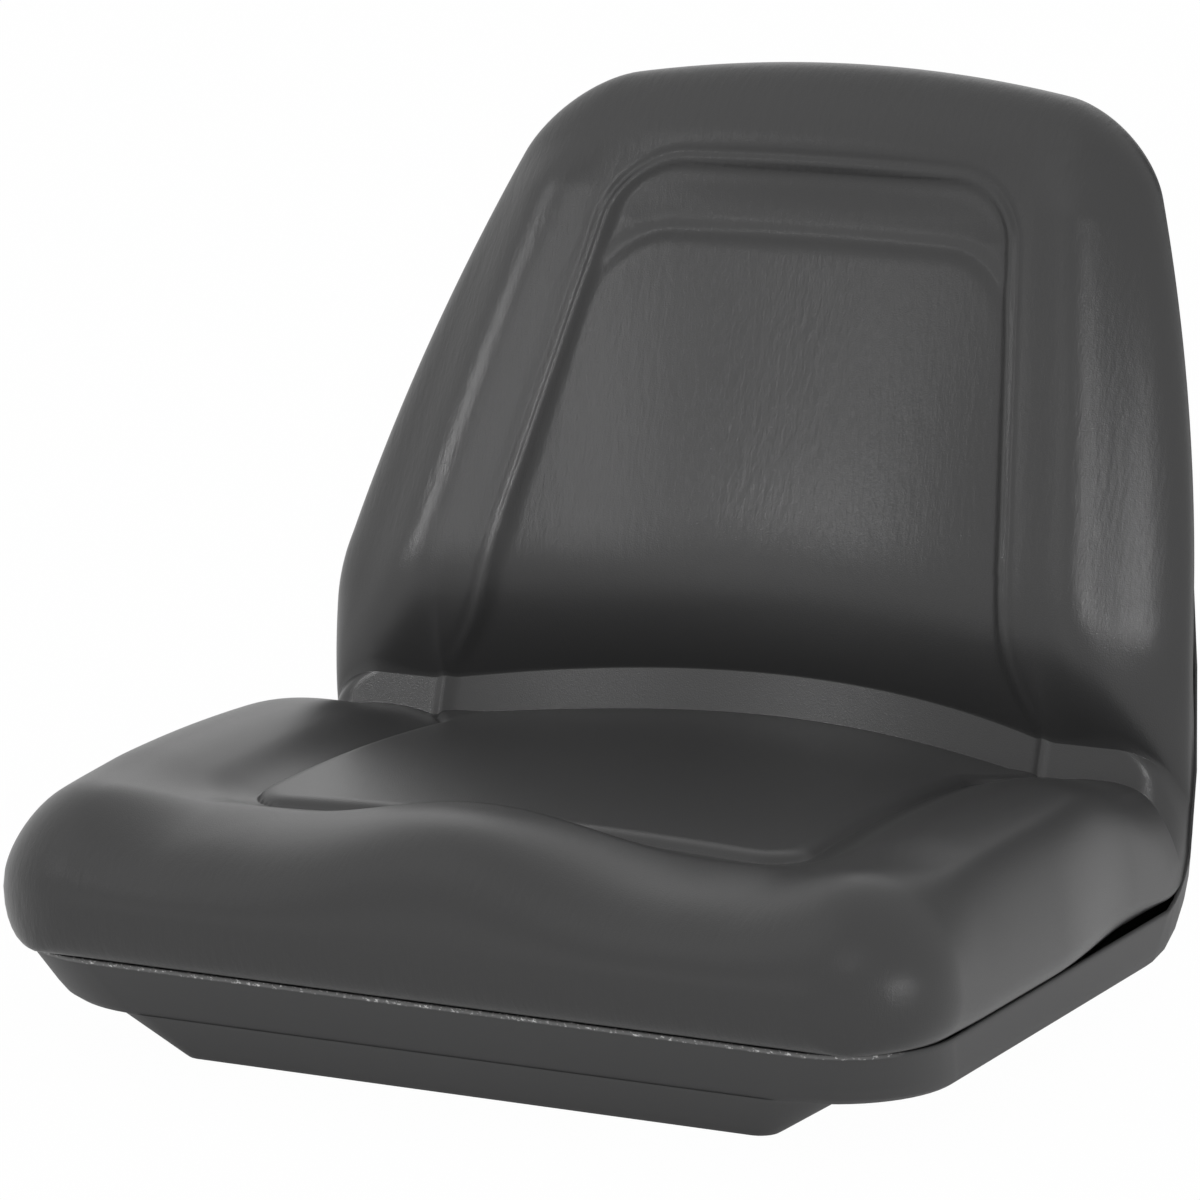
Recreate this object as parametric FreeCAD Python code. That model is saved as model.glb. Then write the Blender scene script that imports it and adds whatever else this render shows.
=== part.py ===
import FreeCAD, Part
import math
import os

V = FreeCAD.Vector

# Driving dimensions in millimetres. X runs across the seat, the front faces -Y and Z is up.
# The origin is the middle of the bolt pattern, on the underside of the mounting dish.

SHEET = 1.5                 # pressed steel sheet

# Base tray of the pan
RIM_HALF_WIDTH = 245.0
RIM_FRONT = -160.0
RIM_CORNER = 56.0
SHELF_Z = 25.0
# Skirt from the rim to the shelf: inset at the sides, inset at the front, height above the shelf
SKIRT = ((0.0, 0.0, 30.0), (6.4, 14.6, 8.0), (8.5, 18.0, 2.8), (12.0, 20.0, 0.0))
SKIRT_CORNER_GROWTH = 0.45

# Mounting dish below the shelf
DISH_HALF_WIDTH = 199.0
DISH_FRONT = -140.5
DISH_REAR = 135.0
DISH_CORNER = 34.0
DISH_SIDE_RUN = 40.0
DISH_END_RUN = 21.5
DISH_CORNER_LOSS = 24.0
# Share of the wall's run and height above the floor, from the opening down
DISH_WALL = ((0.0, SHELF_Z), (0.06, 24.0), (0.95, 1.2), (1.0, 0.0))

BOLT_X = 254.0              # bolt spacing across the seat
BOLT_Y = 152.0              # bolt spacing front to back
BOLT_HOLE = 4.5
NUT_BORE = 4.0
NUT_WIDTH = 13.0
NUT_HEIGHT = 6.5
DRAIN_HOLE = 6.0
DRAIN_Y = 80.0

# Back shell: it turns up from the tray round the bend axis, runs straight and curls at the top
BEND_Y = 165.0
BEND_Z = 90.0
BEND_RADIUS = 65.0
SHELL_RECLINE = math.radians(22.0)
SHELL_BOWL = 600.0          # radius of the shell's bow across the seat
CURL_START = 327.5
CURL_RADIUS = 50.0
CURL_TURN = math.radians(68.0)
SHELL_INSET = 3.0           # rim inside the cushion's outline
SHELL_FOOT = 88.4           # straight run below the reference height of the back

# Back of the cushion, measured from the plane of its widest outline
RECLINE = math.radians(25.0)
BACK_Y = 197.6
BACK_Z = 176.0
BACK_HALF_WIDTH = 241.8
BACK_TAPER = 0.133
BACK_TAPER_BOW = 0.00049
BACK_TOP = 299.8
BACK_TOP_BOW = 0.00072
BACK_CORNER = 38.0
BACK_ROLL = 58.0
BACK_FRONT = 27.0           # front face at the panel's edge
WING_SWELL = 7.0
WING_RUN = 70.0
PANEL_HALF_WIDTH = 150.0
PANEL_TAPER = 0.155
PANEL_FLARE = 0.008
PANEL_TOP = 233.0
HOLLOW_LOW = -1.0           # middle of the back panel
HOLLOW_HIGH = 16.0
TOP_FRONT = 26.0
FOOT_ROLL = 84.0            # height of the roll at the foot of the back
FOOT_EASE = 2.3
REAR_LIP = 4.0
REAR_STEP = 8.0             # foam's body behind the tucked edge of the back
REAR_GAP = 1.0
CURL_MARGIN = 8.0           # foam ends this far below the shell's curl

# Crease band between the seat and the back
BAND_HALF_WIDTH = 170.0
BAND_DROP = -48.6
BAND_OUT = -3.0
BAND_RISE = 28.0
BAND_DEPTH = 36.5

# Seat of the cushion
SEAT_HALF_WIDTH = 253.0
SEAT_NARROWING = 15.0
SEAT_FRONT = -171.0
SEAT_CORNER = 60.0
SEAT_ROLL = 52.0
SEAT_WAIST = 26.0           # widest line above the tucked edge
TUCK_Z = 56.0
TUCK_INSET = 5.0
TUCK_SHARE = 0.7
TUCK_ROLL = 14.0
BODY_INSET = 40.0
BODY_LEAST = 0.4            # least share of a section's width that the foam's body keeps
BODY_RUN = 24.0             # from the tucked edge in to the foam's full depth
FOAM_BASE = SHELF_Z + SHEET
GROOVE_X = 149.0
GROOVE_FRONT = -74.0
GROOVE_Z = 125.0
GROOVE_BOW = 0.00039
PANEL_Z = 128.0
PANEL_BOW = 0.0002
PANEL_MID_Y = 15.0
BOLSTER_RISE = 12.5
BOLSTER_RUN = 56.0
BOLSTER_END = 178.0
BOLSTER_END_RUN = 110.0
CREST_RUN = 30.0
CREST_Z = 124.0
CREST_SIDE_RISE = 12.0
POMMEL_RISE = 15.5
POMMEL_HALF_WIDTH = 115.0

# The cushion's tucked edge follows the rim, which sweeps up into the back on a round
SWEEP_Y = 150.0
SWEEP_Z = 107.0
SWEEP_RADIUS = 51.0
SWEEP_END_Y = 201.0         # upright stretch of the rim

# The cushion's sections turn from upright to square with the back between these two places
FAN_START = 120.0
FAN_END = 25.0
FAN_STEP = 3.0
FAN_BOWING = 2.0

UPPER_SPANS = 16            # spans across the upper face of a section
ROLL_SHARE = 0.2            # share of those spans in each rolled edge
# Cushion's sections: runs back from the seat's front, stages of the turn round the band, heights of the back
SEAT_SECTIONS = (0.4, 3.0, 9.0, 20.0, 35.0, 54.0, 74.0, 92.0, 110.0, 150.0, 215.0, 265.0)
FAN_SECTIONS = (0.0, 0.45, 0.8, 1.0, 1.5, 2.0, 2.2, 2.5, 2.8)
BACK_SECTIONS = (25.0, 65.0, 125.0, 182.0, 220.0, 245.0, 264.0, 279.0, 290.0, 296.5, 299.2)


def step(value):
    """Smooth step from 0 to 1."""
    t = min(1.0, max(0.0, value))
    return t * t * (3.0 - 2.0 * t)


def roll(value):
    """Quarter of a circle: rises steeply from 0 and is level at 1."""
    t = min(1.0, max(0.0, value))
    return math.sqrt(1.0 - (1.0 - t) ** 2)


def ease(value, power):
    """Rises at once from 0 and is level at 1."""
    t = min(1.0, max(0.0, value))
    return 1.0 - (1.0 - t) ** power


def corner_distance(side, end, radius):
    """Distance inside two edges that meet in a round corner."""
    if side < radius and end < radius:
        return radius - math.hypot(radius - side, radius - end)
    return min(side, end)


def reach(distance, limit):
    """Largest x at which a distance function of x is still positive."""
    low = 0.0
    high = limit
    for _ in range(40):
        middle = 0.5 * (low + high)
        if distance(middle) > 0.0:
            low = middle
        else:
            high = middle
    return low


# Seat pan


def outline(half_width, front, rear, corner, z, round_rear):
    """Closed level wire with round corners at the front and, if asked, at the rear."""
    ends = [(-1.0, front, 1.0), (1.0, front, 1.0), (1.0, rear, -1.0), (-1.0, rear, -1.0)]
    before = []
    after = []
    edges = []
    for index, (side, y, inward) in enumerate(ends):
        radius = corner if (index < 2 or round_rear) else 0.0
        across = V(side * (half_width - radius), y, z)
        along = V(side * half_width, y + inward * radius, z)
        first, second = (along, across) if index % 2 == 0 else (across, along)
        before.append(first)
        after.append(second)
        if radius > 0.0:
            cut = radius * (1.0 - math.sqrt(0.5))
            middle = V(side * (half_width - cut), y + inward * cut, z)
            edges.append((index, Part.Arc(first, middle, second)))
    for index in range(4):
        edges.append((index + 0.5, Part.LineSegment(after[index], before[(index + 1) % 4])))
    edges.sort(key=lambda item: item[0])
    return Part.Wire([edge.toShape() for _, edge in edges])


def skirt_levels(inside):
    """Skirt as (side inset, front inset, height) on the sheet's outer or inner face, rim first."""
    levels = []
    for index, (side, front, height) in enumerate(SKIRT):
        share = index / (len(SKIRT) - 1.0)
        if inside:
            side += SHEET * (1.05 - 0.65 * share)
            front += SHEET * (1.24 - 0.84 * share)
            height += SHEET * share
        levels.append((side, front, height))
    return levels


def tray_volume(inside):
    """Space within the outer or inner face of the base tray, up to the bend of the back."""
    wires = []
    for side, front, height in skirt_levels(inside):
        wires.append(outline(RIM_HALF_WIDTH - side, RIM_FRONT + front, BEND_Y,
                             RIM_CORNER + SKIRT_CORNER_GROWTH * side, SHELF_Z + height, False))
    return Part.makeLoft(wires, True, True)


def dish_volume(inside):
    """Space within the outer or inner face of the mounting dish."""
    wires = []
    for share, height in DISH_WALL:
        side = DISH_SIDE_RUN * share
        end = DISH_END_RUN * share
        if inside:
            side += SHEET * 0.6
            end += SHEET * 0.6
            height += SHEET
        wires.append(outline(DISH_HALF_WIDTH - side, DISH_FRONT + end, DISH_REAR - end,
                             DISH_CORNER - DISH_CORNER_LOSS * share, height, True))
    return Part.makeLoft(wires, True, True)


def back_half_width(up):
    """Half-width of the back's widest outline, before its top corners are rounded."""
    return BACK_HALF_WIDTH - BACK_TAPER * up - BACK_TAPER_BOW * up * up


def back_distance(x, up):
    """Distance inside the back's widest outline."""
    side = 0.95 * (back_half_width(up) - abs(x))
    end = BACK_TOP - BACK_TOP_BOW * x * x - up
    return corner_distance(side, end, BACK_CORNER)


def back_reach(up):
    return reach(lambda x: back_distance(x, up), back_half_width(up))


class Station:
    """Section plane across the back shell: a point of the outer face and the way inwards."""

    def __init__(self, y, z, lean, half_width, rim, bowed):
        self.y = y
        self.z = z
        self.lean = lean
        self.half_width = half_width
        self.rim = rim
        self.bowed = bowed

    def point(self, x, height):
        return V(x, self.y - height * math.sin(self.lean), self.z + height * math.cos(self.lean))


SHELL_LEAN = math.pi / 2.0 - SHELL_RECLINE


def bend_station(turn, rim, bowed):
    y = BEND_Y + BEND_RADIUS * math.sin(turn)
    z = BEND_Z - BEND_RADIUS * math.cos(turn)
    return Station(y, z, turn, RIM_HALF_WIDTH, rim, bowed)


def line_station(length, half_width, rim, bowed):
    y = BEND_Y + BEND_RADIUS * math.sin(SHELL_LEAN) + length * math.sin(SHELL_RECLINE)
    z = BEND_Z - BEND_RADIUS * math.cos(SHELL_LEAN) + length * math.cos(SHELL_RECLINE)
    return Station(y, z, SHELL_LEAN, half_width, rim, bowed)


def curl_station(turn, half_width, rim):
    station = line_station(CURL_START, half_width, rim, 1.0)
    station.lean = SHELL_LEAN + turn
    station.y += CURL_RADIUS * (math.sin(station.lean) - math.sin(SHELL_LEAN))
    station.z += CURL_RADIUS * (math.cos(SHELL_LEAN) - math.cos(station.lean))
    return station


def shell_stations():
    stations = []
    for share in (0.0, 0.22, 0.44, 0.65, 0.84, 1.0):
        rim = SKIRT[0][2] + 12.0 * share - 7.0 * share * share
        stations.append(bend_station(SHELL_LEAN * share, rim, max(0.001, 0.25 * share ** 2)))
    stations.append(line_station(40.0, 244.5, 43.0, 0.5))
    stations.append(line_station(90.0, 242.5, 60.0, 0.85))
    for length in (180.0, 260.0, CURL_START):
        up = length - SHELL_FOOT
        stations.append(line_station(length, back_reach(up) - SHELL_INSET, 61.0 - 0.052 * up, 1.0))
    for share in (0.28, 0.53, 0.77, 1.0):
        turn = CURL_TURN * share
        up = CURL_START - SHELL_FOOT + CURL_RADIUS * math.sin(turn)
        stations.append(curl_station(turn, back_reach(up) - SHELL_INSET, 48.0 - 30.0 * share ** 2))
    return stations


def shell_section(station):
    """Closed thin U across the seat at one station."""
    flat = station.half_width - SKIRT[-1][0]
    foot = station.bowed * flat * flat / (2.0 * SHELL_BOWL)
    stretch = (station.rim - foot) / SKIRT[0][2]
    outer = []
    inner = []
    for (side, _, height), (side_in, _, height_in) in zip(skirt_levels(False), skirt_levels(True)):
        outer.append((station.half_width - side, foot + height * stretch))
        inner.append((station.half_width - side_in, foot + height * stretch + height_in - height))
    right_out = [station.point(x, h) for x, h in outer]
    left_out = [station.point(-x, h) for x, h in reversed(outer)]
    left_in = [station.point(-x, h) for x, h in inner]
    right_in = [station.point(x, h) for x, h in reversed(inner)]
    edges = []
    edges += [Part.LineSegment(a, b) for a, b in zip(right_out, right_out[1:])]
    edges.append(Part.Arc(right_out[-1], station.point(0.0, 0.0), left_out[0]))
    edges += [Part.LineSegment(a, b) for a, b in zip(left_out, left_out[1:])]
    edges.append(Part.LineSegment(left_out[-1], left_in[0]))
    edges += [Part.LineSegment(a, b) for a, b in zip(left_in, left_in[1:])]
    edges.append(Part.Arc(left_in[-1], station.point(0.0, SHEET), right_in[0]))
    edges += [Part.LineSegment(a, b) for a, b in zip(right_in, right_in[1:])]
    edges.append(Part.LineSegment(right_in[-1], right_out[0]))
    return Part.Wire([edge.toShape() for edge in edges])


def bolt_places():
    return [(sx * BOLT_X / 2.0, sy * BOLT_Y / 2.0) for sx in (-1, 1) for sy in (-1, 1)]


def seat_pan():
    base = tray_volume(False).fuse(dish_volume(False))
    base = base.cut(tray_volume(True)).cut(dish_volume(True))
    shell = Part.makeLoft([shell_section(station) for station in shell_stations()], True, True)
    pan = base.fuse(shell)
    for x, y in bolt_places():
        pan = pan.cut(Part.makeCylinder(BOLT_HOLE, 4.0 * SHEET, V(x, y, -SHEET)))
    for side in (-1, 1):
        pan = pan.cut(Part.makeCylinder(DRAIN_HOLE, 4.0 * SHEET, V(0.0, side * DRAIN_Y, -SHEET)))
    return pan.removeSplitter()


# Weld nuts


def weld_nut(x, y):
    radius = NUT_WIDTH / math.sqrt(3.0)
    corners = []
    for index in range(7):
        angle = math.radians(60.0 * index)
        corners.append(V(x + radius * math.cos(angle), y + radius * math.sin(angle), SHEET))
    body = Part.Face(Part.makePolygon(corners)).extrude(V(0.0, 0.0, NUT_HEIGHT))
    return body.cut(Part.makeCylinder(NUT_BORE, NUT_HEIGHT, V(x, y, SHEET)))


# Cushion


def seat_half_width(y):
    return SEAT_HALF_WIDTH - SEAT_NARROWING * step((y - 60.0) / 120.0)


def seat_distance(x, y):
    """Distance inside the seat's widest outline."""
    return corner_distance(seat_half_width(y) - abs(x), y - SEAT_FRONT, SEAT_CORNER)


def seat_top(x, y):
    """Height of the seat's upper face, without the rolled edge."""
    a = abs(x)
    groove = GROOVE_Z - GROOVE_BOW * (y - PANEL_MID_Y) ** 2
    middle = PANEL_Z - PANEL_BOW * (y - PANEL_MID_Y) ** 2
    panel = groove + (middle - groove) * max(0.0, 1.0 - (a / GROOVE_X) ** 2)
    side = step((a - GROOVE_X) / BOLSTER_RUN)
    bolster = BOLSTER_RISE * side * step((BOLSTER_END - y) / BOLSTER_END_RUN)
    crest = CREST_Z + CREST_SIDE_RISE * side
    if a < POMMEL_HALF_WIDTH:
        crest += POMMEL_RISE * math.cos(0.5 * math.pi * a / POMMEL_HALF_WIDTH) ** 2
    front = step((GROOVE_FRONT - y) / CREST_RUN)
    return (panel + bolster) * (1.0 - front) + crest * front


def back_front(x, up):
    """Front face of the back, out from the plane of its widest outline, without the rolled edge."""
    a = abs(x)
    edge = PANEL_HALF_WIDTH - PANEL_TAPER * up + PANEL_FLARE * min(0.0, up) ** 2
    hollow = HOLLOW_LOW + (HOLLOW_HIGH - HOLLOW_LOW) * step((up - 20.0) / 220.0)
    if a < edge:
        out = hollow + (BACK_FRONT - hollow) * (a / edge) ** 2.2
    else:
        out = BACK_FRONT + WING_SWELL * math.sin(math.pi * min(1.0, (a - edge) / WING_RUN))
    top = step((up - PANEL_TOP + 20.0) / 40.0)
    out = out * (1.0 - top) + TOP_FRONT * top
    bow = 1.0 - min(1.0, a / BAND_HALF_WIDTH) ** 2
    foot_up = BAND_DROP + BAND_RISE * bow
    foot_out = BAND_OUT - BAND_DEPTH * bow
    if up > foot_up:
        return foot_out + (out - foot_out) * ease((up - foot_up) / FOOT_ROLL, FOOT_EASE)
    return foot_out + math.tan(RECLINE) * (up - foot_up)


def back_frame(y, z):
    """Height up the back's slope and distance out in front of its widest outline."""
    up = (y - BACK_Y) * math.sin(RECLINE) + (z - BACK_Z) * math.cos(RECLINE)
    out = -(y - BACK_Y) * math.cos(RECLINE) + (z - BACK_Z) * math.sin(RECLINE)
    return up, out


# Axis that the cushion's sections turn about between the seat and the back
FAN_Y = FAN_START
FAN_Z = BACK_Z + (FAN_END - (FAN_START - BACK_Y) * math.sin(RECLINE)) / math.cos(RECLINE)
FAN_TURN = math.pi / 2.0 - RECLINE
FAN_OUT = back_frame(FAN_Y, FAN_Z)[1]


def first_depth(inside):
    """Depth along a ray at which it first enters what a test calls inside."""
    low = 0.0
    high = FAN_STEP
    while not inside(high):
        low = high
        high += FAN_STEP
    for _ in range(30):
        middle = 0.5 * (low + high)
        if inside(middle):
            high = middle
        else:
            low = middle
    return high


def fan_point(turn, depth):
    return FAN_Y + depth * math.sin(turn), FAN_Z - depth * math.cos(turn)


def skin_depth(x, turn):
    """Depth of the seat or the back, whichever comes first, without the rolled edge."""
    def inside(depth):
        y, z = fan_point(turn, depth)
        up, out = back_frame(y, z)
        return z < seat_top(x, y) or out < back_front(x, up)
    return first_depth(inside)


def tuck_depth(turn):
    """Depth of the cushion's tucked edge, just above the rim where it sweeps up into the back."""
    def inside(depth):
        y, z = fan_point(turn, depth)
        if z > SWEEP_Z:
            return y > SWEEP_END_Y and back_frame(y, z)[1] < -REAR_LIP
        if y > SWEEP_Y:
            return math.hypot(y - SWEEP_Y, z - SWEEP_Z) > SWEEP_RADIUS
        return z < TUCK_Z
    return first_depth(inside)


class Section:
    """Closed section of the cushion. Depths are below a fixed axis: the widest line, the tucked edge,
    the side of the foam's body and its middle."""

    def __init__(self, half_width, waist, edge, body, middle, top, roll_width, distance, place):
        self.half_width = half_width
        self.waist = waist
        self.edge = edge
        self.body = body
        self.middle = middle
        self.top = top
        self.roll_width = roll_width
        self.distance = distance
        self.place = place

    def upper(self, x):
        return self.waist + (self.top(x) - self.waist) * roll(self.distance(x) / self.roll_width)

    def tuck(self, inside, depth):
        """Left and right points at a distance in from the widest line and at a depth."""
        x = reach(lambda place: self.distance(place) - inside, self.half_width)
        x = max(x, self.half_width * (1.0 - (1.0 - BODY_LEAST) * inside / BODY_INSET))
        return self.place(-x, depth), self.place(x, depth)

    def wire(self):
        """Rolled upper face from left to right, then the underside back in straight runs and a bow."""
        left = self.place(-self.half_width, self.waist)
        right = self.place(self.half_width, self.waist)
        points = [left]
        for index in range(1, UPPER_SPANS):
            x = -self.half_width * math.cos(math.pi * index / UPPER_SPANS)
            points.append(self.place(x, self.upper(x)))
        points.append(right)
        spans = len(points) - 3
        curve = Part.BSplineCurve()
        repeats = [4] + [1] * (spans - 1) + [4]
        curve.buildFromPolesMultsKnots(points, repeats, list(range(spans + 1)), False, 3)
        edge_left, edge_right = self.tuck(TUCK_INSET, self.waist + TUCK_SHARE * (self.edge - self.waist))
        tuck_left, tuck_right = self.tuck(TUCK_ROLL, self.edge)
        body_left, body_right = self.tuck(BODY_INSET, self.body)
        bow = Part.BezierCurve()
        bow.setPoles([body_right, self.place(0.0, 2.0 * self.middle - self.body), body_left])
        crown = ROLL_SHARE * spans
        edges = [curve.toShape(0, crown), curve.toShape(crown, spans - crown),
                 curve.toShape(spans - crown, spans)]
        runs = [Part.LineSegment(right, edge_right), Part.LineSegment(edge_right, tuck_right),
                Part.LineSegment(tuck_right, body_right), bow, Part.LineSegment(body_left, tuck_left),
                Part.LineSegment(tuck_left, edge_left), Part.LineSegment(edge_left, left)]
        return Part.Wire(edges + [run.toShape() for run in runs])


def seat_section(y):
    half_width = reach(lambda x: seat_distance(x, y), SEAT_HALF_WIDTH)
    waist = FAN_Z - TUCK_Z - SEAT_WAIST
    edge = waist + SEAT_WAIST * roll((y - SEAT_FRONT) / TUCK_ROLL)
    base = edge + 0.1 + (TUCK_Z - FOAM_BASE - 0.1) * step((y - SEAT_FRONT - TUCK_ROLL) / BODY_RUN)
    return Section(half_width, waist, edge, base, base, lambda x: FAN_Z - seat_top(x, y), SEAT_ROLL,
                   lambda x: seat_distance(x, y), lambda x, depth: V(x, y, FAN_Z - depth))


def band_top(x):
    """Place of the crease band's upper edge."""
    bow = 1.0 - min(1.0, abs(x) / BAND_HALF_WIDTH) ** 2
    up = BAND_DROP + BAND_RISE * bow
    out = BAND_OUT - BAND_DEPTH * bow
    y = BACK_Y + up * math.sin(RECLINE) - out * math.cos(RECLINE)
    return y, BACK_Z + up * math.cos(RECLINE) + out * math.sin(RECLINE)


def fan_turn(x, stage):
    """Turn of a section: 0 at the seat, 1 at the band's foot, 2 at its upper edge and 3 at the back."""
    y, z = band_top(x)
    turns = [0.0, math.atan2(y - FAN_Y, FAN_Z - seat_top(x, y)), math.atan2(y - FAN_Y, FAN_Z - z), FAN_TURN]
    index = min(2, int(stage))
    return turns[index] + (turns[index + 1] - turns[index]) * (stage - index)


def fan_section(stage):
    side_turn = fan_turn(SEAT_HALF_WIDTH, stage)
    middle_turn = fan_turn(0.0, stage)
    share = side_turn / FAN_TURN
    half_width = seat_half_width(FAN_Y) * (1.0 - share) + back_half_width(FAN_END) * share
    edge = tuck_depth(side_turn)
    waist = edge - SEAT_WAIST * (1.0 - share) - REAR_LIP * share
    middle = pan_depth(middle_turn) - REAR_GAP * min(1.0, 4.0 * share)
    body = edge + REAR_STEP + (pan_depth(0.0) - edge - REAR_STEP) * max(0.0, 1.0 - FAN_BOWING * share)

    def place(x, depth):
        y, z = fan_point(fan_turn(x, stage), depth)
        return V(x, y, z)

    return Section(half_width, waist, edge, body, middle, lambda x: skin_depth(x, fan_turn(x, stage)),
                   SEAT_ROLL * (1.0 - share) + BACK_ROLL * share, lambda x: half_width - abs(x), place)


def pan_depth(turn):
    """Depth of the pan's inner face in the middle of the seat."""
    foot = line_station(0.0, 0.0, 0.0, 1.0)

    def inside(depth):
        y, z = fan_point(turn, depth)
        along = (y - foot.y) * math.sin(SHELL_RECLINE) + (z - foot.z) * math.cos(SHELL_RECLINE)
        off = -(y - foot.y) * math.cos(SHELL_RECLINE) + (z - foot.z) * math.sin(SHELL_RECLINE)
        if along > 0.0:
            return off < SHEET
        if y > BEND_Y:
            return math.hypot(y - BEND_Y, z - BEND_Z) > BEND_RADIUS - SHEET
        return z < FOAM_BASE
    return first_depth(inside)


def back_section(up):
    half_width = reach(lambda x: back_distance(x, up), back_half_width(up))
    foot = line_station(0.0, 0.0, 0.0, 1.0)
    low_up, low_out = back_frame(foot.y, foot.z)
    deep = low_out + math.tan(RECLINE - SHELL_RECLINE) * (up - low_up) + SHEET + REAR_GAP
    above = up + CURL_MARGIN - (CURL_START - SHELL_FOOT)
    rise = min(max(0.0, above), 0.95 * CURL_RADIUS)
    behind = REAR_STEP * max(0.02, min(1.0, (BACK_TOP - CURL_MARGIN - up) / CURL_RADIUS))
    deep = min(deep + CURL_RADIUS - math.sqrt(CURL_RADIUS ** 2 - rise ** 2), -REAR_LIP - behind)
    deep += (-REAR_LIP - behind - deep) * step(above / CURL_RADIUS)

    def place(x, depth):
        out = FAN_OUT - depth
        y = BACK_Y + up * math.sin(RECLINE) - out * math.cos(RECLINE)
        z = BACK_Z + up * math.cos(RECLINE) + out * math.sin(RECLINE)
        return V(x, y, z)

    edge = FAN_OUT + REAR_LIP
    return Section(half_width, FAN_OUT, edge, edge + behind, FAN_OUT - deep,
                   lambda x: FAN_OUT - back_front(x, up), BACK_ROLL, lambda x: back_distance(x, up), place)


def cushion():
    """One loft through the sections of the seat, of the turn into the back, and of the back."""
    sections = [seat_section(SEAT_FRONT + run) for run in SEAT_SECTIONS]
    sections += [fan_section(stage) for stage in FAN_SECTIONS]
    sections += [back_section(up) for up in BACK_SECTIONS]
    return Part.makeLoft([section.wire() for section in sections], True, True)


def main():
    os.makedirs("parts", exist_ok=True)
    nodes = {
        "seat_pan": seat_pan(),
        "cushion": cushion(),
        "mounting_nuts": Part.makeCompound([weld_nut(x, y) for x, y in bolt_places()]),
    }
    for name, shape in nodes.items():
        shape.exportStep("parts/%s.step" % name)
        box = shape.BoundBox
        print(name, "solids", len(shape.Solids), "valid", shape.isValid(), "volume %.0f" % shape.Volume,
              "x %.1f %.1f y %.1f %.1f z %.1f %.1f" % (box.XMin, box.XMax, box.YMin, box.YMax,
                                                       box.ZMin, box.ZMax))


main()
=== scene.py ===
import math

import bpy
import numpy as np
from mathutils import Matrix


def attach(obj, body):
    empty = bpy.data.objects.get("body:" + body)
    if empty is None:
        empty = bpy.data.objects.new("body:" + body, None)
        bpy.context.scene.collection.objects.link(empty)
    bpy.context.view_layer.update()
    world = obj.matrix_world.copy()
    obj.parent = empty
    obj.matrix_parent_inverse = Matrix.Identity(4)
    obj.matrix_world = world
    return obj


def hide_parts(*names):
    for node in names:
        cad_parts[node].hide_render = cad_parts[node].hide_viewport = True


# The cushion and the camera are in millimetres, the studio and the materials in metres.
# X runs across the seat, and its front faces -Y.
MM = 0.001

# Photograph's camera, angles in degrees
AZIMUTH = 26.58
ELEVATION = 11.42
FOCAL_PIXELS = 6500.0
IMAGE_PIXELS = 1200.0
SENSOR = 36.0
AIM_RIGHT = 9.45
AIM_UP = 211.14
AIM_LIFT = 5.0
CAMERA_DISTANCE = 3208.28
CLIP_END = 50.0             # metres

# Seat of the cushion
SEAT_HALF_WIDTH = 253.0
SEAT_NARROWING = 7.5
NARROWING_START = 10.0
NARROWING_RUN = 110.0
SEAT_FRONT = -171.0
SEAT_CORNER = 60.0
SEAT_SIDE_ROLL = 24.0
SEAT_FRONT_ROLL = 62.0      # in the middle of the front
SEAT_FRONT_GROWTH = 36.0    # and this much more beside it
SEAT_ROLL_BLEND = 160.0     # passage from the front's roll to the sides'
SEAT_ROLL_POWER = 2.5       # fuller than a circle
SEAT_WAIST = 26.0           # widest line of the front above the tucked edge
SIDE_WAIST = 14.0           # and of the sides
WAIST_START = 20.0
WAIST_RUN = 80.0
TUCK_Z = 56.0
GROOVE_X = 149.0
GROOVE_FRONT = -74.0
GROOVE_CORNER = 24.0
GROOVE_Z = 125.0
GROOVE_BOW = 0.00039
GROOVE_SPREAD_START = 130.0 # it spreads to the ends of the crease band
GROOVE_SPREAD_RUN = 45.0
PANEL_Z = 128.0
PANEL_BOW = 0.0002
PANEL_MID_Y = 15.0
PANEL_LIP = 4.5             # panel's rounded edge beside the groove
PANEL_LIP_RUN = 9.0
SHOULDER_RUN = 30.0         # rise from the groove to what lies round it
SHOULDER_TIGHTENING = 8.0   # less of it at the front
BOLSTER_RISE = 12.5
BOLSTER_RUN = 56.0
BOLSTER_DOME = 0.0085       # fall of its top outside the crest, per distance squared
BOLSTER_END = 178.0
BOLSTER_END_RUN = 110.0
CREST_START = 6.0           # behind the groove's front
CREST_SIDE_START = 22.0     # and this much further back at the sides
CREST_RUN = 32.0
CREST_SIDE_RUN = 40.0       # longer by this at the sides
CREST_Z = 124.0
CREST_SIDE_RISE = 8.5
POMMEL_RISE = 15.5
POMMEL_HALF_WIDTH = 115.0

# Back of the cushion, measured from the plane of its widest outline
RECLINE = math.radians(25.0)
BACK_Y = 197.6
BACK_Z = 176.0
BACK_HALF_WIDTH = 241.8
BACK_TAPER = 0.133
BACK_TAPER_BOW = 0.00049
BACK_TOP = 299.8
BACK_TOP_BOW = 0.00072
BACK_CORNER = 38.0
BACK_ROLL = 58.0
BACK_ROLL_POWER = 2.0       # a circle
SIDE_SLANT = 0.95           # true distance in from the slanted side, per distance across
BACK_FRONT = 27.0
WING_SWELL = 7.0
WING_RUN = 70.0
WELT_HALF_WIDTH = 150.0
WELT_TAPER = 0.155
WELT_FLARE = 0.008
WELT_TOP = 241.4
WELT_TOP_BOW = 0.0003
WELT_CORNER = 36.0
WELT_GROOVE = 1.4
WELT_GROOVE_WIDTH = 2.4
WELT_HEIGHT = 2.2
WELT_WIDTH = 3.2
WELT_INSET = 4.5
PANEL_RECESS = 3.0
PANEL_RECESS_RUN = 9.0
FOLD_TOP = 201.5            # bead that closes the back panel at its top
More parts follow.
